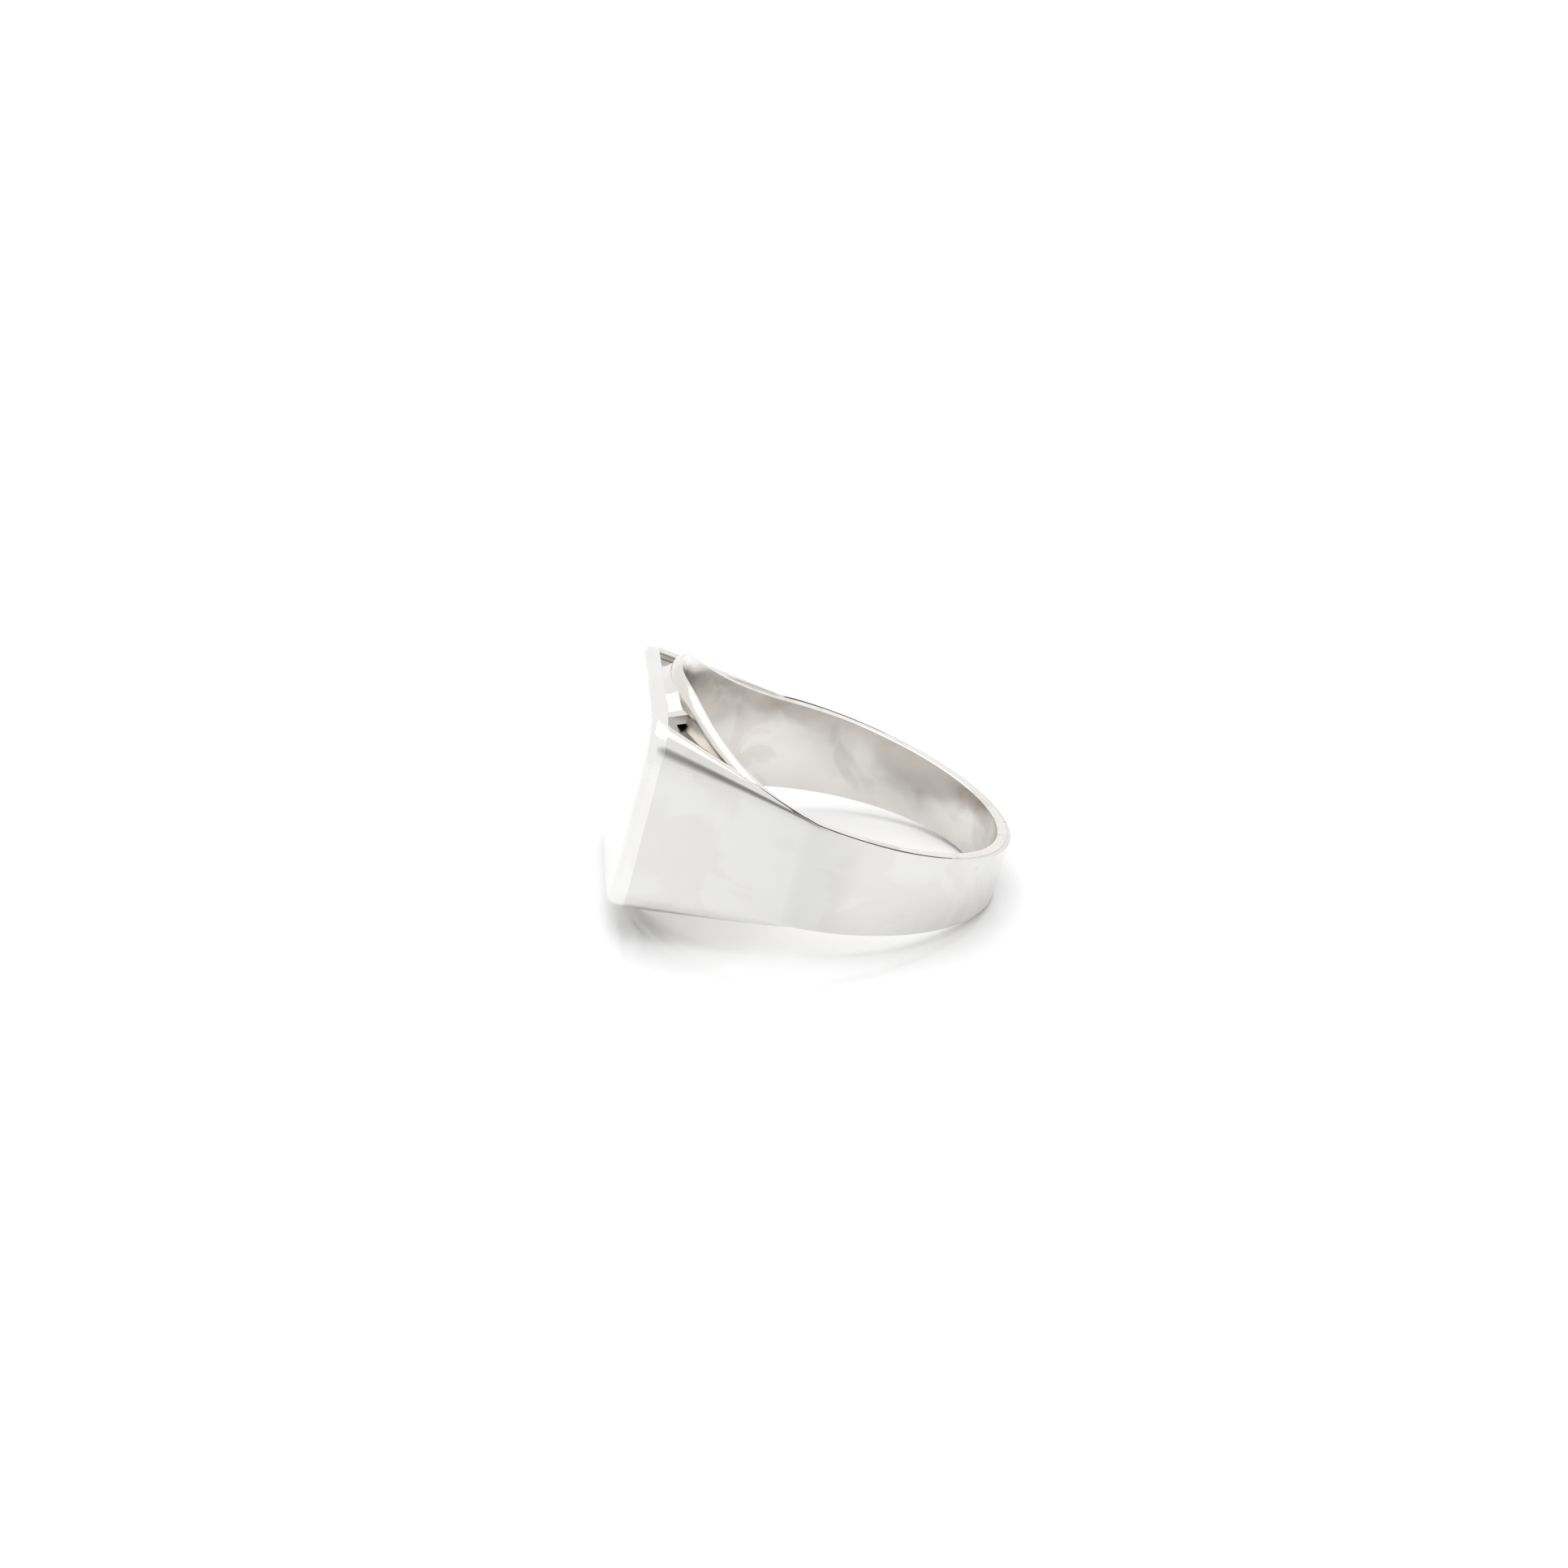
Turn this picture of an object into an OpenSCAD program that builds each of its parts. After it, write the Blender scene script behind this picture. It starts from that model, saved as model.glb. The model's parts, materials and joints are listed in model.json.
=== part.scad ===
// Bench-made hollow signet ring, lying on its side as it rests on a table.
// A flared finger band is wrapped by two shoulder shells that carry a flat cushion-shaped face plate.
// Every piece is drawn about the finger axis (Z through the finger hole, the face towards -X)
// and then laid down by lying(), so that the ring stands on Z = 0.

/* [Finger band] */
// Diameter of the finger hole
finger_d = 19; // [16:0.1:22]
// Wall thickness of the finger band
band_t = 0.55; // [0.4:0.05:0.9]
// Width of the ring along the finger at the back of the shank
shank_w = 3.2; // [2.4:0.1:4.4]
// Width of the finger band under the face
head_w = 12.8; // [12.2:0.1:13.4]
// Slope of the shank's edges, from the back to where the flare starts
edge_slope = 0.1; // [0.08:0.005:0.115]
// Distance from the finger axis to the start of the flare, towards the face
flare_start = 2.2; // [1.8:0.1:2.6]
// Angle by which the flare turns up from the straight edge where it starts
flare_kink = 3; // [2:0.5:5]
// Radius of the flare in the band's edges
flare_r = 12.1; // [11.8:0.1:12.6]

/* [Face plate] */
// Length of the face across the finger
face_l = 15; // [14:0.1:16]
// Height of the face along the finger
face_h = 10.8; // [10:0.1:11.4]
// Thickness of the face plate
face_t = 0.8; // [0.4:0.05:0.9]
// Squareness of the cushion outline, where 2 is an ellipse
face_square = 7; // [4:0.5:8]

/* [Shoulders] */
// Thickness of the shoulder shells round the shank
shell_t = 0.25; // [0.2:0.05:0.5]
// Height of the shoulder shells where they meet the face plate
shoulder_h = 10.1; // [9.6:0.1:10.4]
// Width of the shoulder shell's edge at the face plate
shoulder_edge = 1.6; // [1.2:0.1:2.2]

/* [Gallery plates] */
// Depth of the gallery plates below the shoulder's edge
gallery_drop = 0.4; // [0.4:0.1:1.2]
// Thickness of the gallery plates
gallery_t = 0.5; // [0.4:0.05:0.8]
// Diameter of the vent hole in each lower gallery plate
vent_d = 0.7; // [0.5:0.1:0.9]

/* [Solder] */
// Width of the butt joints at the back of the shank
joint_w = 0.12; // [0.08:0.02:0.2]
// Gap between the finger band and the face plate, filled with solder
face_gap = 0.3; // [0.1:0.05:0.4]
// Length of the solder fillets between the band and the face plate
fillet_l = 8.2; // [6:0.1:9]
// Height of the solder fillets at the face plate
fillet_h = 1; // [0.6:0.1:1.4]
// Extra height of the solder fillets at the finger band
fillet_rise = 0.65; // [0.3:0.05:0.9]
// Step from the face plate's edge down to the solder fillets
fillet_step = 0.1; // [0.05:0.05:0.3]

/* [Hidden] */
$fn = 180;

// Radii of the finger hole, the band's outside and the shank's outside
finger_r = finger_d / 2;
band_r = finger_r + band_t;
shank_r = band_r + shell_t;
// Planes of the face plate's back and of the face itself, towards -X
plate_back = band_r + face_gap;
face_plane = plate_back + face_t;
// Blocks that only cut or bound a shape reach this far
reach = 2 * face_plane;
// Half width of the ring at the back and where the flare starts
back_half = shank_w / 2;
flare_half = back_half + edge_slope * (shank_r + flare_start);
// Centre of the flare's arc, which starts at the end of the straight edge
flare_angle = atan(edge_slope) + flare_kink;
flare_x = -flare_start + flare_r * sin(flare_angle);
flare_z = flare_half + flare_r * cos(flare_angle);
// The shoulder's outer side is flat, from the end of the face to where it meets the shank's round
face_end_r = norm([face_plane, face_l / 2]);
touch_angle = 180 - atan(face_l / 2 / face_plane) - acos(shank_r / face_end_r);
// The shoulder's inner side is flat too, from the face plate to where it meets the band
pocket_y = face_l / 2 - shoulder_edge;
pocket_r = norm([plate_back, pocket_y]);
pocket_angle = 180 - atan(pocket_y / plate_back) - acos(band_r / pocket_r);
// Distance from the finger axis to inside the band's wall, behind the pocket and the solder fillets
pocket_root = finger_r * cos(45);
fillet_root = finger_r * cos(25);
// Vent hole, as an angle round the finger and a distance from its axis
vent_angle = 151;
vent_r = band_r + vent_d;
// The ring rests on the end of the band's flare under the face and on the back of the shank
rest_x = min(finger_r, sqrt(pow(flare_r, 2) - pow(flare_z - head_w / 2, 2)) - flare_x);
lean = atan((head_w / 2 - back_half) / (rest_x + shank_r));
lift = head_w / 2 * cos(lean) - rest_x * sin(lean);
left_end = -face_plane * cos(lean) - face_h / 2 * sin(lean);
right_end = shank_r * cos(lean) + back_half * sin(lean);

// Lays a piece down as the ring rests: centred over the origin, on Z = 0
module lying() {
    translate([-(left_end + right_end) / 2, 0, lift])
        rotate([0, lean, 0])
            children();
}

// Extrudes a side view, drawn with X and Z as its axes, across the whole ring
module across(length = 2 * reach) {
    rotate([90, 0, 0])
        linear_extrude(height = length, center = true)
            children();
}

// Height of the shoulder's edge at a distance x from the finger axis
function shoulder_half(x) =
    flare_half + (shoulder_h / 2 - flare_half) * (-x - flare_start) / (plate_back - flare_start);

// Side view of the finger band: straight edges that flare towards the face
module band_side() {
    difference() {
        polygon([
            [shank_r, -back_half], [shank_r, back_half], [-flare_start, flare_half], [-flare_start, head_w / 2],
            [-shank_r, head_w / 2], [-shank_r, -head_w / 2], [-flare_start, -head_w / 2], [-flare_start, -flare_half]
        ]);
        for (side = [-1, 1])
            translate([flare_x, side * flare_z]) circle(r = flare_r);
    }
}

// Side view of a shoulder shell: straight edges that open out to the face plate
module shoulder_side() {
    polygon([
        [shank_r, -back_half], [shank_r, back_half], [-flare_start, flare_half],
        [-plate_back, shoulder_half(-plate_back)], [-plate_back, -shoulder_half(-plate_back)],
        [-flare_start, -flare_half]
    ]);
}

// Plan of the whole ring's outside, up to the face plate's back
module outer_plan() {
    intersection() {
        union() {
            circle(r = shank_r);
            polygon([
                [-face_plane, -face_l / 2],
                shank_r * [cos(touch_angle), -sin(touch_angle)],
                shank_r * [cos(touch_angle), sin(touch_angle)],
                [-face_plane, face_l / 2]
            ]);
        }
        translate([-plate_back, -reach]) square([reach + plate_back, 2 * reach]);
    }
}

// Plan of the hollow between the band, the face plate and a shoulder, on the +Y side
module pocket_plan() {
    difference() {
        polygon([
            [-plate_back, fillet_l / 2], [-plate_back, pocket_y],
            band_r * [cos(pocket_angle), sin(pocket_angle)], [-pocket_root, pocket_root],
            [-fillet_root, fillet_l / 2]
        ]);
        circle(r = band_r);
    }
}

// Cushion outline of the face, drawn with the face's length along X
module face_outline() {
    steps = 144;
    polygon([
        for (i = [0 : steps - 1])
            let (a = 360 * i / steps, p = 2 / face_square)
                [
                    face_l / 2 * sign(cos(a)) * pow(abs(cos(a)), p),
                    face_h / 2 * sign(sin(a)) * pow(abs(sin(a)), p)
                ]
    ]);
}

// The band that the finger goes through, open at its butt joint
module finger_band() {
    color([0.86, 0.85, 0.83])
        lying()
            difference() {
                intersection() {
                    cylinder(r = band_r, h = head_w, center = true);
                    across() band_side();
                }
                cylinder(r = finger_r, h = 2 * head_w, center = true);
                translate([0, -joint_w / 2, -head_w]) cube([reach, joint_w, 2 * head_w]);
            }
}

// Solder in the finger band's butt joint
module band_joint_solder() {
    color([0.8, 0.8, 0.76])
        lying()
            intersection() {
                difference() {
                    cylinder(r = band_r, h = head_w, center = true);
                    cylinder(r = finger_r, h = 2 * head_w, center = true);
                }
                across(joint_w) intersection() {
                    band_side();
                    translate([0, -head_w / 2]) square([reach, head_w]);
                }
            }
}

// The flat plate that carries the signet face
module face_plate() {
    color([0.93, 0.93, 0.93])
        lying()
            translate([-plate_back, 0, 0])
                rotate([0, -90, 0])
                    rotate([0, 0, 90])
                        linear_extrude(height = face_t)
                            face_outline();
}

// One shoulder shell, on the +Y side: flat from the face plate, then round to the back joint
module shoulder() {
    intersection() {
        linear_extrude(height = head_w, center = true)
            difference() {
                outer_plan();
                circle(r = band_r);
                translate([-reach, -reach]) square([2 * reach, reach + joint_w / 2]);
                translate([-reach, 0]) square([reach, fillet_l / 2]);
                pocket_plan();
            }
        across() shoulder_side();
    }
}

module shoulder_left() {
    color([0.82, 0.83, 0.83]) lying() shoulder();
}

module shoulder_right() {
    color([0.82, 0.83, 0.83]) lying() mirror([0, 1, 0]) shoulder();
}

// Solder between the two shoulder shells at the back of the shank
module back_joint_solder() {
    color([0.8, 0.8, 0.76])
        lying()
            intersection() {
                difference() {
                    cylinder(r = shank_r, h = shank_w * 2, center = true);
                    cylinder(r = band_r, h = head_w, center = true);
                }
                across(joint_w) intersection() {
                    shoulder_side();
                    translate([0, -head_w / 2]) square([reach, head_w]);
                }
            }
}

// Upper gallery plate on the +Y side: a sloping floor sunk between band, face plate and shoulder
module gallery_plate() {
    top = function (x) shoulder_half(x) - gallery_drop;
    intersection() {
        linear_extrude(height = head_w) pocket_plan();
        across() polygon([
            [0, top(0)], [-plate_back, top(-plate_back)],
            [-plate_back, top(-plate_back) - gallery_t], [0, top(0) - gallery_t]
        ]);
    }
}

// The same plate with a vent hole, which lets the air out of the hollow as it is soldered shut
module vented_gallery_plate() {
    difference() {
        gallery_plate();
        rotate([0, 0, vent_angle])
            translate([vent_r, 0, 0])
                cylinder(d = vent_d, h = head_w);
    }
}

module gallery_plate_upper_left() {
    color([0.7, 0.7, 0.69]) lying() gallery_plate();
}

module gallery_plate_upper_right() {
    color([0.7, 0.7, 0.69]) lying() mirror([0, 1, 0]) gallery_plate();
}

module gallery_plate_lower_left() {
    color([0.7, 0.7, 0.69]) lying() mirror([0, 0, 1]) vented_gallery_plate();
}

module gallery_plate_lower_right() {
    color([0.7, 0.7, 0.69]) lying() mirror([0, 1, 0]) mirror([0, 0, 1]) vented_gallery_plate();
}

// Solder fillet that fills the narrow gap between the band and the face plate
module face_solder() {
    foot = face_h / 2 - fillet_h - fillet_step;
    difference() {
        across(fillet_l) polygon([
            [-plate_back, foot], [-plate_back, foot + fillet_h],
            [-finger_r, foot + fillet_h + fillet_rise], [-fillet_root, foot + fillet_h + fillet_rise],
            [-fillet_root, foot]
        ]);
        cylinder(r = band_r, h = head_w);
    }
}

module face_solder_upper() {
    color([0.8, 0.8, 0.76]) lying() face_solder();
}

module face_solder_lower() {
    color([0.8, 0.8, 0.76]) lying() mirror([0, 0, 1]) face_solder();
}

finger_band();
band_joint_solder();
face_plate();
shoulder_left();
shoulder_right();
back_joint_solder();
gallery_plate_upper_left();
gallery_plate_upper_right();
gallery_plate_lower_left();
gallery_plate_lower_right();
face_solder_upper();
face_solder_lower();
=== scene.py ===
"""A polished silver signet ring lying on its side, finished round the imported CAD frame. Metres throughout."""
import json
import math

import bpy
from mathutils import Matrix, Vector


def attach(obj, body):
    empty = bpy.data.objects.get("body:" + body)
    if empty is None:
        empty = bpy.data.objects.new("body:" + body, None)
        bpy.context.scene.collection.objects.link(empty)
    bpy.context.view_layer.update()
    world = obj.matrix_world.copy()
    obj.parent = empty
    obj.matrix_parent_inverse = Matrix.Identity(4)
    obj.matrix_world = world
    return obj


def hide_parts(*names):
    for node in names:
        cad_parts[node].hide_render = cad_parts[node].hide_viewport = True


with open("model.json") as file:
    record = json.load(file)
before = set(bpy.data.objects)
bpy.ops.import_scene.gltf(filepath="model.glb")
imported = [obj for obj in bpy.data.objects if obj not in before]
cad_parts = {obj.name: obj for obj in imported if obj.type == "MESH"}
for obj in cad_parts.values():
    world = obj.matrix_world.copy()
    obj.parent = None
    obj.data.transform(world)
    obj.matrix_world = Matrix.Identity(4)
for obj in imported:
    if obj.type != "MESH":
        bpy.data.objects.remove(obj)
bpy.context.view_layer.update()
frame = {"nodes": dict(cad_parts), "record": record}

MM = 0.001

# ---------------------------------------------------------------- the ring's own frame and sizes

mounts = {mount["name"]: mount for mount in frame["record"]["mounts"]}
finger_hole = mounts["finger_hole"]
ring_centre = Vector(finger_hole["pos_m"])
LEAN = math.atan2(finger_hole["axis"][0], finger_hole["axis"][2])
# Pieces are made with the finger axis upright and the face towards -X, then laid down as the ring rests.
LAY_DOWN = Matrix.Translation(ring_centre) @ Matrix.Rotation(LEAN, 4, "Y")
STAND_UP = LAY_DOWN.inverted()


def ring_points(node):
    """A CAD node's points in the ring's own frame, before it is laid down."""
    return [STAND_UP @ vertex.co for vertex in frame["nodes"][node].data.vertices]


def reach(node, axis, side=1):
    """How far a CAD node goes along one axis of the ring's own frame."""
    return max(side * point[axis] for point in ring_points(node))


X, Y, Z = range(3)
# New pieces stay this far inside the CAD's outermost points.
SKIN = 0.002 * MM
# Two places closer than this count as the same.
NEAR = 0.01 * MM
FINGER_R = finger_hole["dims"]["r_mm"] * MM
BAND_R = reach("finger_band", X, -1)
SHANK_R = reach("shoulder_left", X) - SKIN
HEAD_HALF = reach("finger_band", Z)
SHOULDER_HALF = reach("shoulder_left", Z)
PLATE_BACK = -reach("face_plate", X)
FACE_X = reach("face_plate", X, -1) - SKIN
FACE_HALF_L = reach("face_plate", Y)
FACE_HALF_H = reach("face_plate", Z)
JOINT_HALF = reach("back_joint_solder", Y)
FILLET_HALF = reach("face_solder_upper", Y)
POCKET_Y = min(point.y for point in ring_points("shoulder_left") if point.x < NEAR - PLATE_BACK)

# The shank's edges stay this far above what the ring lies on.
EDGE_SKIN = 0.008 * MM
# The edges run straight from the back of the shank, then flare in an arc under the face.
EDGE_SLOPE = 0.1
FLARE_START = 2.2 * MM
FLARE_R = 12.1 * MM
FLARE_KINK = math.radians(3)
FLARE_ANGLE = math.atan(EDGE_SLOPE) + FLARE_KINK
# How gently the flare runs into the band's full width under the face.
FLARE_SOFT = 0.2 * MM
# Closer than this, two points of a mesh are merged.
MERGE = 0.0005 * MM
BACK_HALF = reach("back_joint_solder", Z) - EDGE_SLOPE * (SHANK_R - BAND_R) - EDGE_SKIN
FLARE_HALF = BACK_HALF + EDGE_SLOPE * (SHANK_R + FLARE_START)
FLARE_X = -FLARE_START + FLARE_R * math.sin(FLARE_ANGLE)
FLARE_Z = FLARE_HALF + FLARE_R * math.cos(FLARE_ANGLE)
# Squareness of the face's cushion outline, and how fast the shoulders' section squares up away from it.
FACE_SQUARE = 7
SQUARING = 1.1


def ease(value, low, high):
    """A share from 0 at low to 1 at high that starts and stops gently."""
    share = min(max((value - low) / (high - low), 0), 1)
    return share * share * (3 - 2 * share)


def shank_half(x):
    """Half the ring's width on the straight part of its edges."""
    return BACK_HALF + EDGE_SLOPE * (SHANK_R - x)


def band_half(x):
    """Half the finger band's width at a distance x from the finger axis."""
    if x > -FLARE_START:
        return shank_half(x)
    arc = FLARE_Z - math.sqrt(FLARE_R ** 2 - (x - FLARE_X) ** 2)
    return -FLARE_SOFT * math.log(math.exp(-arc / FLARE_SOFT) + math.exp(-HEAD_HALF / FLARE_SOFT))


def shoulder_half(x):
    """Half a shoulder shell's width at a distance x from the finger axis."""
    if x > -FLARE_START:
        return shank_half(x)
    return FLARE_HALF + (SHOULDER_HALF - FLARE_HALF) * (-x - FLARE_START) / (PLATE_BACK - FLARE_START)


# ---------------------------------------------------------------- modelling helpers


def deselect_all():
    if bpy.context.object and bpy.context.object.mode != "OBJECT":
        bpy.ops.object.mode_set(mode="OBJECT")
    bpy.ops.object.select_all(action="DESELECT")


def make_active(piece):
    deselect_all()
    piece.select_set(True)
    bpy.context.view_layer.objects.active = piece


def start(name):
    """Names the primitive just added and puts its place into its mesh."""
    piece = bpy.context.object
    piece.name = name
    bpy.ops.object.transform_apply(location=True, rotation=True, scale=True)
    return piece


def edit(piece, *steps):
    """Runs edit-mode operators on the whole of a piece, in order."""
    make_active(piece)
    bpy.ops.object.mode_set(mode="EDIT")
    bpy.ops.mesh.select_all(action="SELECT")
    for operator, settings in steps:
        operator(**settings)
    bpy.ops.object.mode_set(mode="OBJECT")


def press(piece, form):
    """Presses a piece over a former, which gives each point its new place."""
    for vertex in piece.data.vertices:
        vertex.co = form(vertex.co)
    piece.data.update()


def finish_with(piece, kind, **settings):
    """Adds one modifier and applies it."""
    make_active(piece)
    modifier = piece.modifiers.new(kind.lower(), kind)
    for key, value in settings.items():
        setattr(modifier, key, value)
    bpy.ops.object.modifier_apply(modifier=modifier.name)


def turn_outwards(piece):
    edit(piece, (bpy.ops.mesh.remove_doubles, {"threshold": MERGE}),
         (bpy.ops.mesh.normals_make_consistent, {"inside": False}))


def weigh_edges(piece, weight):
    """Sets each edge's share of the rounding that a bevel will give it."""
    mesh = piece.data
    weights = mesh.attributes.new("bevel_weight_edge", "FLOAT", "EDGE")
    for edge in mesh.edges:
        ends = [mesh.vertices[i].co for i in edge.vertices]
        weights.data[edge.index].value = weight(*ends)


def lay_down(piece, node):
    """Puts a finished piece where its CAD node is, and lets it stand for that node."""
    piece.data.transform(LAY_DOWN)
    piece.data.update()
    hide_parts(node)
    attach(piece, "root")
    return piece


# ---------------------------------------------------------------- the finger band

BAND_STEPS = 360
RIM_DROP = 0.28 * MM
RIM_ROUND = 0.4 * MM
# The roll grows from the first to the second of these distances towards the face.
ROLL_FROM = 3 * MM
ROLL_FULL = 8 * MM
ROUND_FROM = 2 * MM
# Share of the rounding at the inner and the outer edge: at the shank, and what the head adds.
INNER_ROUND = (0.2, 0.25)
OUTER_ROUND = (0.12, 0.73)
# A rim edge is no taller and no wider than these.
RIM_TALL = 0.2 * MM
RIM_WIDE = 0.1 * MM
SMOOTH_ANGLE = math.radians(50)
CRISP_ANGLE = math.radians(40)


def finger_band():
    """The band that the finger goes through: a tube, flared towards the face, with a rolled rim there."""
    deselect_all()
    bpy.ops.mesh.primitive_cylinder_add(vertices=BAND_STEPS, radius=FINGER_R, depth=HEAD_HALF,
                                        end_fill_type="NOTHING")
    band = start("flared_band")
    press(band, lambda p: Vector((p.x, p.y, math.copysign(band_half(p.x), p.z))))
    finish_with(band, "SOLIDIFY", thickness=BAND_R - FINGER_R, offset=1)
    middle = (FINGER_R + BAND_R) / 2

    def roll_rim(p):
        if math.hypot(p.x, p.y) < middle:
            return p
        return Vector((p.x, p.y, p.z - math.copysign(RIM_DROP * ease(-p.x, ROLL_FROM, ROLL_FULL), p.z)))

    press(band, roll_rim)

    def rounding(a, b):
        radius = math.hypot(a.x, a.y)
        width = abs(radius - math.hypot(b.x, b.y))
        if abs(a.z - b.z) > RIM_TALL or a.z * b.z < 0 or width > RIM_WIDE:
            return 0
        head = ease(-(a.x + b.x) / 2, ROUND_FROM, ROLL_FULL)
        at_shank, added = INNER_ROUND if radius < middle else OUTER_ROUND
        return at_shank + added * head

    weigh_edges(band, rounding)
    finish_with(band, "BEVEL", width=RIM_ROUND, segments=5, limit_method="WEIGHT")
    turn_outwards(band)
    bpy.ops.object.shade_smooth_by_angle(angle=SMOOTH_ANGLE)
    return band


# ---------------------------------------------------------------- the shoulder shells


def tangent_angle(radius, x, y):
    """Angle round the finger where a flat side from (x, y) meets a circle."""
    return math.pi - math.atan(y / -x) - math.acos(radius / math.hypot(x, y))


def on_circle(radius, angle):
    return Vector((radius * math.cos(angle), radius * math.sin(angle)))


TOUCH = tangent_angle(SHANK_R, -FACE_X, FACE_HALF_L)
POCKET_TOUCH = tangent_angle(BAND_R, -PLATE_BACK, POCKET_Y)
BACK_ANGLE = math.asin(JOINT_HALF / SHANK_R)
FLAT_START = on_circle(SHANK_R, TOUCH)
FLAT_SLOPE = (FACE_HALF_L - FLAT_START.y) / (-FACE_X - FLAT_START.x)
POCKET_START = on_circle(BAND_R, POCKET_TOUCH)
# The shells run a little way into the plate, so that their front edge is lost in the solder.
LIP_X = -PLATE_BACK - 0.08 * MM
POCKET_LIP = Vector((LIP_X, POCKET_Y))
# Share of a shell's length that is wrapped round the shank, before its flat side.
ROUND_SHARE = 0.72


def flat_y(x):
    """How far out the flat sides of the shoulders are at a distance x from the finger axis."""
    return FLAT_START.y + FLAT_SLOPE * (x - FLAT_START.x)


FLAT_END = Vector((LIP_X, flat_y(LIP_X)))


def inner_rail(share):
    """Plan of a shell's inner side: round the band, then straight to the lip of the pocket."""
    if share < ROUND_SHARE:
        return on_circle(BAND_R, BACK_ANGLE + (TOUCH - BACK_ANGLE) * share / ROUND_SHARE)
    share = (share - ROUND_SHARE) / (1 - ROUND_SHARE)
    turn = BAND_R * (POCKET_TOUCH - TOUCH)
    straight = (POCKET_LIP - POCKET_START).length
    gone = share * (turn + straight)
    if gone < turn:
        return on_circle(BAND_R, TOUCH + gone / BAND_R)
    return POCKET_START.lerp(POCKET_LIP, (gone - turn) / straight)


def outer_rail(share):
    """Plan of a shell's outer side: round the shank, then flat to the face plate."""
    if share < ROUND_SHARE:
        return on_circle(SHANK_R, BACK_ANGLE + (TOUCH - BACK_ANGLE) * share / ROUND_SHARE)
    return FLAT_START.lerp(FLAT_END, (share - ROUND_SHARE) / (1 - ROUND_SHARE))


SHELL_STEPS = 220
SHELL_ROWS = 64
# The flat section that is spun before it is pressed onto the rails: its place and half its size.
SECTION_X = 2 * MM
SECTION_HALF = 1 * MM
SHELL_TURN = math.radians(200)
# Nearest distance to the finger axis that the squaring goes on to, and the most of the wall that it takes.
SQUARE_FROM = 1 * MM
LIP_KEPT = 0.6
# An angle this far past the end of the spin belongs to its first row.
SPIN_SLACK = 0.1
SHELL_ROUND = 0.05 * MM


def cushion_in(share_up, squareness):
    """How far the cushion outline draws in at a share of its height, as a share of its half length."""
    return 1 - (1 - share_up ** squareness) ** (1 / squareness)


def shoulder(name):
    """A shoulder shell on the +Y side: crisp at the shank, opening out to the face's cushion outline."""
    deselect_all()
    bpy.ops.mesh.primitive_grid_add(x_subdivisions=1, y_subdivisions=SHELL_ROWS, size=2 * SECTION_HALF,
                                    location=(SECTION_X, 0, 0), rotation=(math.pi / 2, 0, 0))
    shell = start(name)
    edit(shell, (bpy.ops.mesh.spin, {"steps": SHELL_STEPS, "angle": -SHELL_TURN, "center": (0, 0, 0),
                                     "axis": (0, 0, 1)}))
    turn_outwards(shell)

    def onto_rails(p):
        angle = math.atan2(p.y, p.x) % (2 * math.pi)
        # The first row can lie a rounding error below angle 0.
        share = 0 if angle > SHELL_TURN + SPIN_SLACK else min(angle / SHELL_TURN, 1)
        inner, outer = inner_rail(share), outer_rail(share)
        height = p.z / SECTION_HALF
        half = shoulder_half(outer.x)
        if math.hypot(p.x, p.y) < SECTION_X:
            lip = shoulder_half(inner.x) if share > ROUND_SHARE else half
            return Vector((inner.x, inner.y, height * lip))
        # Rows crowd towards the edges, where the section turns in.
        up = math.sin(abs(height) * math.pi / 2)
        squareness = FACE_SQUARE * (PLATE_BACK / max(-outer.x, SQUARE_FROM)) ** SQUARING
        cushion = up * SHOULDER_HALF / FACE_HALF_H
        section_in = FLAT_END.y * cushion_in(cushion, squareness)
        drawn_in = min(section_in, LIP_KEPT * (inner - outer).length)
        place = outer + (inner - outer).normalized() * drawn_in
        return Vector((place.x, place.y, math.copysign(up * half, p.z)))

    press(shell, onto_rails)
    turn_outwards(shell)
    finish_with(shell, "BEVEL", width=SHELL_ROUND, segments=2, limit_method="ANGLE",
                angle_limit=SMOOTH_ANGLE)
    bpy.ops.object.shade_smooth_by_angle(angle=CRISP_ANGLE)
    return shell


def mirrored(piece, name, across):
    """A copy with its own mesh on the other side of the ring, mirrored along the axes named in across."""
    make_active(piece)
    bpy.ops.object.duplicate()
    copy = bpy.context.object
    copy.name = name
    mirror_axes = tuple(axis in across for axis in "XYZ")
    bpy.ops.transform.mirror(constraint_axis=mirror_axes, center_override=(0, 0, 0))
    bpy.ops.object.transform_apply(location=True, rotation=True, scale=True)
    turn_outwards(copy)
    return copy


# ---------------------------------------------------------------- the face plate

FACE_STEPS = 240
FACE_ROUND = 0.45 * MM
# The plate stands this much proud of the shells, so that it covers their front edges.
PLATE_PROUD = 0.012 * MM


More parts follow.
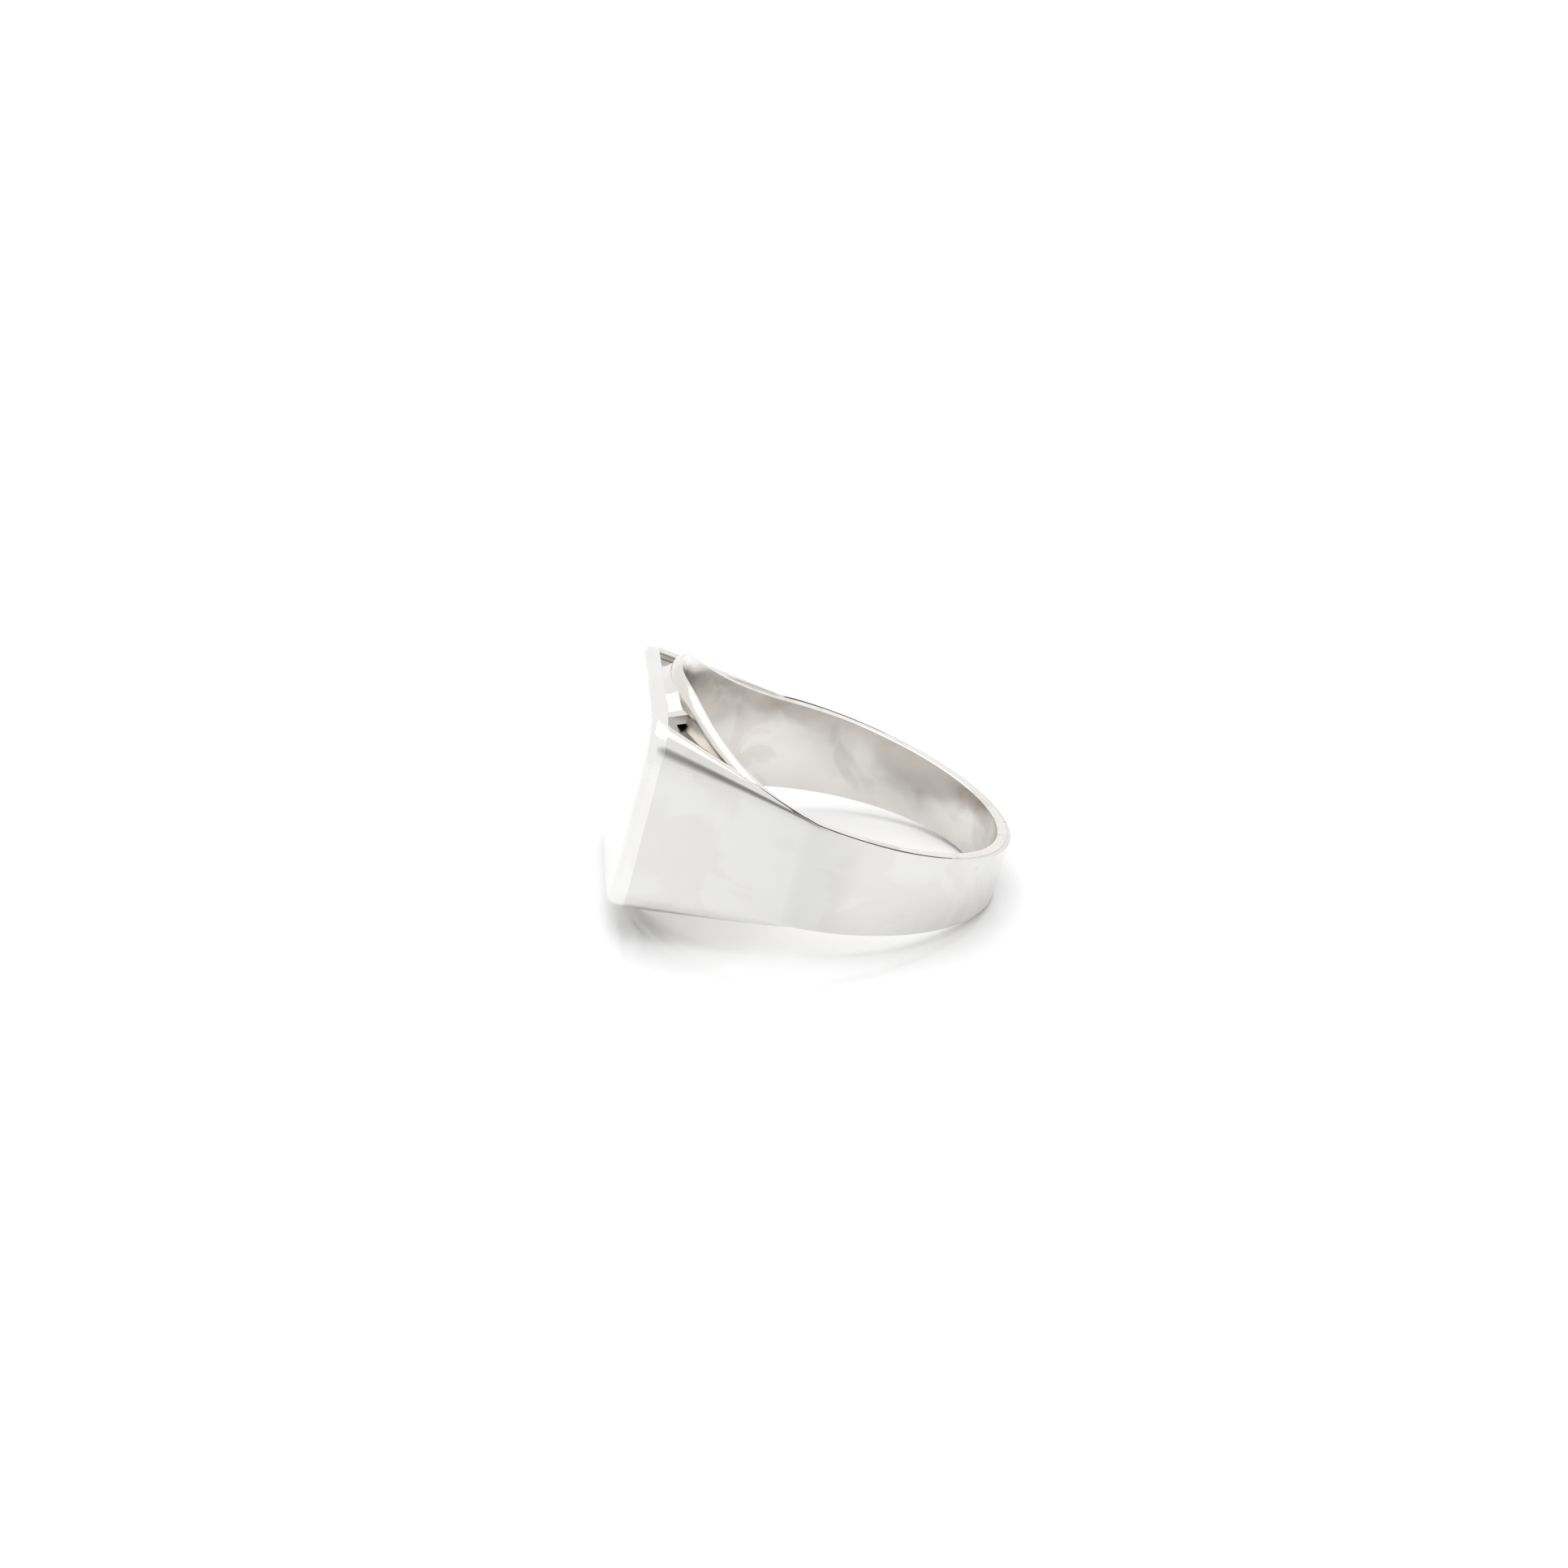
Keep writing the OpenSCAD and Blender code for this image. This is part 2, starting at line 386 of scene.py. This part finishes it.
def face_plate():
    """The signet plate: a cushion outline with its front edge rounded over."""
    deselect_all()
    bpy.ops.mesh.primitive_cylinder_add(vertices=FACE_STEPS, radius=1, depth=1)
    plate = start("signet_plate")
    power = 2 / FACE_SQUARE

    def cushion(p):
        a = math.atan2(p.y, p.x)
        depth = -PLATE_BACK if p.z > 0 else -FACE_X
        across = (flat_y(depth) + PLATE_PROUD) * math.copysign(abs(math.cos(a)) ** power, math.cos(a))
        up = (FACE_HALF_H - SKIN) * math.copysign(abs(math.sin(a)) ** power, math.sin(a))
        return Vector((depth, across, up))

    press(plate, cushion)
    turn_outwards(plate)

    def rounding(a, b):
        front = NEAR - FACE_X
        return 1 if a.x < front and b.x < front else 0

    weigh_edges(plate, rounding)
    finish_with(plate, "BEVEL", width=FACE_ROUND, segments=8, limit_method="WEIGHT")
    bpy.ops.object.shade_smooth_by_angle(angle=CRISP_ANGLE)
    return plate


# ---------------------------------------------------------------- the solder fillets

# Heights of the solder at the plate's edge and at the band's rolled rim.
FILLET_FOOT_Z = FACE_HALF_H - 0.04 * MM
FILLET_TOP_Z = HEAD_HALF - RIM_DROP - 0.3 * MM
# How far the solder sinks at both ends, between these distances from the middle of the face.
FILLET_SINK = 0.65 * MM
FILLET_TAPER = 2 * MM
FILLET_FLOOR = 3.6 * MM
FILLET_DEPTH = 0.5 * MM
# Above 1, the solder's surface dips between the plate and the band.
FILLET_DIP = 1.3
FILLET_SMOOTH = math.radians(75)
# How far a fillet runs into the plate and into the band, so that no gap shows.
FILLET_BITE = 0.06 * MM


def solder_fillet(name):
    """The upper fillet: solder that climbs from the plate to the band, and drops to a floor at both ends."""
    deselect_all()
    bpy.ops.mesh.primitive_grid_add(x_subdivisions=16, y_subdivisions=160, size=2)
    fillet = start(name)

    def flow(p):
        share = (p.x + 1) / 2
        y = p.y * (FILLET_HALF - SKIN)
        band_x = -math.sqrt((BAND_R - FILLET_BITE) ** 2 - y * y)
        plate_x = -PLATE_BACK - FILLET_BITE
        climb = FILLET_FOOT_Z + (FILLET_TOP_Z - FILLET_FOOT_Z) * share ** FILLET_DIP
        sink = FILLET_SINK * ease(abs(y), FILLET_TAPER, FILLET_FLOOR)
        return Vector((plate_x + (band_x - plate_x) * share, y, climb - sink))

    press(fillet, flow)
    edit(fillet, (bpy.ops.mesh.extrude_region_move,
                  {"TRANSFORM_OT_translate": {"value": (0, 0, -FILLET_DEPTH)}}))
    turn_outwards(fillet)
    bpy.ops.object.shade_smooth_by_angle(angle=FILLET_SMOOTH)
    return fillet


# ---------------------------------------------------------------- materials


def link(tree, source, target):
    tree.links.new(source, target)


def add(tree, kind, **settings):
    node = tree.nodes.new(kind)
    for key, value in settings.items():
        setattr(node, key, value)
    return node


def noise(tree, vector, scale, detail=3, distortion=0.0):
    texture = add(tree, "ShaderNodeTexNoise")
    texture.inputs["Scale"].default_value = scale
    texture.inputs["Detail"].default_value = detail
    texture.inputs["Distortion"].default_value = distortion
    link(tree, vector, texture.inputs["Vector"])
    return texture.outputs["Fac"]


def spread(tree, value, low, high):
    """Stretches the part of a value between low and high over 0 to 1."""
    ranged = add(tree, "ShaderNodeMapRange", interpolation_type="SMOOTHSTEP")
    ranged.inputs["From Min"].default_value = low
    ranged.inputs["From Max"].default_value = high
    link(tree, value, ranged.inputs["Value"])
    return ranged.outputs["Result"]


def combine(tree, first, second, operation="ADD"):
    """One Math node on two values, each a socket or a number."""
    result = add(tree, "ShaderNodeMath", operation=operation, use_clamp=operation == "MAXIMUM")
    for socket, value in zip(result.inputs, (first, second)):
        if isinstance(value, (int, float)):
            socket.default_value = value
        else:
            link(tree, value, socket)
    return result.outputs["Value"]


def blend_colours(tree, share, first, second):
    mixed = add(tree, "ShaderNodeMix", data_type="RGBA")
    link(tree, share, mixed.inputs[0])
    for socket, colour in ((mixed.inputs[6], first), (mixed.inputs[7], second)):
        if isinstance(colour, tuple):
            socket.default_value = colour
        else:
            link(tree, colour, socket)
    return mixed.outputs[2]


# Sizes of the marks in the metal, as textures' repeats in a metre.
CLOUDS = 230
HAZE = 900
DENTS = 480
HAIRLINES = 9000
PITS = 420
HAIRLINE_TURNS = (0.3, 1.4, 2.3)
HAIRLINE_STRETCH = 0.02
# Where each texture starts and ends turning into its mark.
CLOUD_EDGE = (0.5, 0.57)
HAIRLINE_EDGE = (0.68, 0.74)
PIT_EDGE = (0.055, 0.02)
# What the marks add to the roughness, and their depth as a share of the bump's.
HAZE_ROUGH = 0.07
HAIRLINE_ROUGH = 0.05
HAIRLINE_DEPTH = -0.001
PIT_DEPTH = -0.2
BUMP_DEPTH = 0.1 * MM


def silver_wear():
    """Hairlines, polishing haze, soft dents and tarnish clouds, shared by every silver finish."""
    group = bpy.data.node_groups.new("silver_wear", "ShaderNodeTree")
    sockets = (
        ("Vector", "INPUT", "NodeSocketVector"), ("Silver", "INPUT", "NodeSocketColor"),
        ("Tarnish", "INPUT", "NodeSocketColor"), ("Cloudiness", "INPUT", "NodeSocketFloat"),
        ("Smoothest", "INPUT", "NodeSocketFloat"), ("Dents", "INPUT", "NodeSocketFloat"),
        ("Colour", "OUTPUT", "NodeSocketColor"), ("Roughness", "OUTPUT", "NodeSocketFloat"),
        ("Height", "OUTPUT", "NodeSocketFloat"),
    )
    for name, side, kind in sockets:
        group.interface.new_socket(name=name, in_out=side, socket_type=kind)
    given = add(group, "NodeGroupInput").outputs
    made = add(group, "NodeGroupOutput").inputs
    clouds = spread(group, noise(group, given["Vector"], CLOUDS, 4, 0.8), *CLOUD_EDGE)
    haze = noise(group, given["Vector"], HAZE, 5)
    dents = noise(group, given["Vector"], DENTS, 1, 0.4)
    hairlines = None
    for turn in HAIRLINE_TURNS:
        stretched = add(group, "ShaderNodeMapping")
        stretched.inputs["Rotation"].default_value = (turn, turn * 0.7, turn)
        stretched.inputs["Scale"].default_value = (HAIRLINE_STRETCH, 1, 1)
        link(group, given["Vector"], stretched.inputs["Vector"])
        lines = spread(group, noise(group, stretched.outputs["Vector"], HAIRLINES, 1), *HAIRLINE_EDGE)
        hairlines = lines if hairlines is None else combine(group, hairlines, lines, "MAXIMUM")
    specks = add(group, "ShaderNodeTexVoronoi")
    specks.inputs["Scale"].default_value = PITS
    link(group, given["Vector"], specks.inputs["Vector"])
    pit = spread(group, specks.outputs["Distance"], *PIT_EDGE)
    tarnished = combine(group, combine(group, clouds, given["Cloudiness"], "MULTIPLY"), pit, "MAXIMUM")
    link(group, blend_colours(group, tarnished, given["Silver"], given["Tarnish"]), made["Colour"])
    hazy = combine(group, haze, HAZE_ROUGH, "MULTIPLY")
    rough = combine(group, hazy, combine(group, hairlines, HAIRLINE_ROUGH, "MULTIPLY"))
    link(group, combine(group, given["Smoothest"], rough), made["Roughness"])
    scored = combine(group, hairlines, HAIRLINE_DEPTH, "MULTIPLY")
    marks = combine(group, scored, combine(group, pit, PIT_DEPTH, "MULTIPLY"))
    swell = combine(group, dents, given["Dents"], "MULTIPLY")
    link(group, combine(group, marks, swell), made["Height"])
    return group


WEAR = silver_wear()
# A dark tone that the shells take along their seam with the band.
SEAM_DARK_TONE = (0.05, 0.038, 0.028, 1)
# Share of the shell's lip that the dark seam tone covers, the size of its ragged edge and where it starts.
SEAM_SPREAD = 1.8
SEAM_RAGGED = 1500
SEAM_EDGE = (0.5, 0.68)
SEAM_ROUGH = 0.5


def silver(name, colour, tarnish, cloudiness, smoothest, dents, seam=False):
    """A silver finish. With a seam, the colour darkens and the surface roughens where the piece's seam
    attribute nears 1.
    """
    material = bpy.data.materials.new(name)
    material.use_nodes = True
    tree = material.node_tree
    shader = tree.nodes["Principled BSDF"]
    shader.inputs["Metallic"].default_value = 1
    wear = add(tree, "ShaderNodeGroup", node_tree=WEAR)
    wear.inputs["Silver"].default_value = (*colour, 1)
    wear.inputs["Tarnish"].default_value = (*tarnish, 1)
    wear.inputs["Cloudiness"].default_value = cloudiness
    wear.inputs["Smoothest"].default_value = smoothest
    wear.inputs["Dents"].default_value = dents
    place = add(tree, "ShaderNodeTexCoord").outputs["Object"]
    link(tree, place, wear.inputs["Vector"])
    tone, gloss = wear.outputs["Colour"], wear.outputs["Roughness"]
    if seam:
        nearness = add(tree, "ShaderNodeAttribute", attribute_name="seam").outputs["Fac"]
        ragged = combine(tree, nearness, combine(tree, noise(tree, place, SEAM_RAGGED, 3), 0.5, "MULTIPLY"))
        # How far the colour turns to the dark seam tone, where the seam attribute is high.
        seam_darkening = spread(tree, ragged, *SEAM_EDGE)
        tone = blend_colours(tree, seam_darkening, tone, SEAM_DARK_TONE)
        gloss = combine(tree, gloss, combine(tree, seam_darkening, SEAM_ROUGH, "MULTIPLY"))
    link(tree, tone, shader.inputs["Base Color"])
    link(tree, gloss, shader.inputs["Roughness"])
    bump = add(tree, "ShaderNodeBump")
    bump.inputs["Distance"].default_value = BUMP_DEPTH
    link(tree, wear.outputs["Height"], bump.inputs["Height"])
    link(tree, bump.outputs["Normal"], shader.inputs["Normal"])
    return material


outside = silver("polished_silver", (0.72, 0.715, 0.7), (0.66, 0.65, 0.63), 0.5, 0.06, 0.08, seam=True)
face_finish = silver("face_silver", (0.82, 0.815, 0.805), (0.76, 0.75, 0.73), 0.4, 0.08, 0.04)
inside = silver("bore_silver", (0.8, 0.78, 0.75), (0.7, 0.67, 0.63), 0.8, 0.17, 0.4)
pocket = silver("pocket_silver", (0.68, 0.67, 0.66), (0.5, 0.48, 0.44), 0.7, 0.14, 0.3)
solder = silver("silver_solder", (0.8, 0.79, 0.77), (0.7, 0.68, 0.62), 0.5, 0.08, 0.2)


def mark_seam(piece, darkening_from, darkening_full):
    """Writes how near each point is to the band's seam, from 0 to 1.

    Along X, the darker tone sets in from darkening_from to darkening_full.
    """
    seam = piece.data.attributes.new("seam", "FLOAT", "POINT")
    wall = SHANK_R - BAND_R
    for vertex in piece.data.vertices:
        off_band = math.hypot(vertex.co.x, vertex.co.y) - BAND_R
        strength = ease(-vertex.co.x, -8 * MM, -2 * MM) * ease(vertex.co.x, darkening_from, darkening_full)
        nearness = min(max(SEAM_SPREAD * (1 - off_band / wall), 0), 1)
        seam.data[vertex.index].value = strength * nearness


def dress(piece, material):
    piece.data.materials.clear()
    piece.data.materials.append(material)


band = lay_down(finger_band(), "finger_band")
left = shoulder("left_shell")
right = mirrored(left, "right_shell", "Y")
mark_seam(left, -2.5 * MM, -1 * MM)
mark_seam(right, -6.5 * MM, -4 * MM)
right = lay_down(right, "shoulder_right")
left = lay_down(left, "shoulder_left")
plate = lay_down(face_plate(), "face_plate")
upper_fillet = solder_fillet("upper_fillet")
lower_fillet = mirrored(upper_fillet, "lower_fillet", "Z")
upper_fillet = lay_down(upper_fillet, "face_solder_upper")
lower_fillet = lay_down(lower_fillet, "face_solder_lower")
finishes = {band: inside, left: outside, right: outside, plate: face_finish, upper_fillet: solder,
            lower_fillet: solder}
for piece, finish in finishes.items():
    dress(piece, finish)
for node in ("band_joint_solder", "back_joint_solder"):
    dress(frame["nodes"][node], solder)
for node in frame["nodes"]:
    if node.startswith("gallery"):
        dress(frame["nodes"][node], pocket)

# ---------------------------------------------------------------- table, light and camera


TABLE_SIZE = 2
TABLE_GRAIN = 300
TABLE_LIGHT = (0.95, 0.95, 0.95, 1)
TABLE_DARK = (0.92, 0.925, 0.93, 1)


def table():
    deselect_all()
    bpy.ops.mesh.primitive_plane_add(size=TABLE_SIZE, location=(0, 0, 0))
    top = bpy.context.object
    top.name = "table"
    material = bpy.data.materials.new("white_table")
    material.use_nodes = True
    shader = material.node_tree.nodes["Principled BSDF"]
    shader.inputs["IOR"].default_value = 1.6
    tree = material.node_tree
    place = add(tree, "ShaderNodeTexCoord").outputs["Object"]
    grain = noise(tree, place, TABLE_GRAIN, 4)
    link(tree, blend_colours(tree, grain, TABLE_LIGHT, TABLE_DARK), shader.inputs["Base Color"])
    link(tree, combine(tree, combine(tree, grain, 0.06, "MULTIPLY"), 0.1), shader.inputs["Roughness"])
    top.data.materials.append(material)


def softbox(name, place, size, power, target=(0, 0, 5 * MM)):
    light = bpy.data.lights.new(name, "AREA")
    light.shape = "RECTANGLE"
    light.size, light.size_y = size
    light.energy = power
    lamp = bpy.data.objects.new(name, light)
    bpy.context.scene.collection.objects.link(lamp)
    lamp.location = place
    lamp.rotation_euler = (Vector(target) - Vector(place)).to_track_quat("-Z", "Y").to_euler()


# A darker zone in front of the ring gives the shoulders their dark line.
DARK_TOWARD = (-0.1, -0.96, 0.28)
DARK_WITHIN = math.radians(11)
DARK_UNTIL = math.radians(21)
DARK_ZONE = (0.3, 0.3, 0.3, 1)
STUDIO_LIGHT = 1.05


def surroundings():
    world = bpy.data.worlds.new("studio")
    bpy.context.scene.world = world
    world.use_nodes = True
    tree = world.node_tree
    background = tree.nodes["Background"]
    coordinates = tree.nodes.new("ShaderNodeTexCoord")
    toward = tree.nodes.new("ShaderNodeVectorMath")
    toward.operation = "DOT_PRODUCT"
    toward.inputs[1].default_value = Vector(DARK_TOWARD).normalized()
    link(tree, coordinates.outputs["Generated"], toward.inputs[0])
    ramp = tree.nodes.new("ShaderNodeValToRGB")
    ramp.color_ramp.elements[0].position = math.cos(DARK_UNTIL)
    ramp.color_ramp.elements[0].color = (1, 1, 1, 1)
    ramp.color_ramp.elements[1].position = math.cos(DARK_WITHIN)
    ramp.color_ramp.elements[1].color = DARK_ZONE
    link(tree, toward.outputs["Value"], ramp.inputs["Fac"])
    link(tree, ramp.outputs["Color"], background.inputs["Color"])
    background.inputs["Strength"].default_value = STUDIO_LIGHT


CAMERA_AZIMUTH = math.radians(-6.14)
CAMERA_HEIGHT = math.radians(21.701)
CAMERA_ROLL = math.radians(-1.238)
CAMERA_DISTANCE = 113.23 * MM
CAMERA_ASIDE = 2.152 * MM
CAMERA_BELOW = 1.393 * MM
SENSOR = 36
LENS = 47.12


def camera():
    back = Vector((
        math.sin(CAMERA_AZIMUTH) * math.cos(CAMERA_HEIGHT),
        -math.cos(CAMERA_AZIMUTH) * math.cos(CAMERA_HEIGHT),
        math.sin(CAMERA_HEIGHT),
    ))
    right = Vector((0, 0, 1)).cross(back).normalized()
    up = back.cross(right)
    place = ring_centre + back * CAMERA_DISTANCE - right * CAMERA_ASIDE + up * CAMERA_BELOW
    turned_right = right * math.cos(CAMERA_ROLL) - up * math.sin(CAMERA_ROLL)
    turned_up = right * math.sin(CAMERA_ROLL) + up * math.cos(CAMERA_ROLL)
    lens = bpy.data.cameras.new("camera")
    lens.sensor_width = SENSOR
    lens.lens = LENS
    lens.clip_start = 1 * MM
    view = bpy.data.objects.new("camera", lens)
    turned = Matrix((turned_right, turned_up, back)).transposed().to_4x4()
    view.matrix_world = Matrix.Translation(place) @ turned
    bpy.context.scene.collection.objects.link(view)
    bpy.context.scene.camera = view


table()
surroundings()
softbox("overhead", (-0.05, 0.05, 0.4), (0.4, 0.4), 0.6)
camera()
bpy.context.scene.view_settings.view_transform = "Standard"
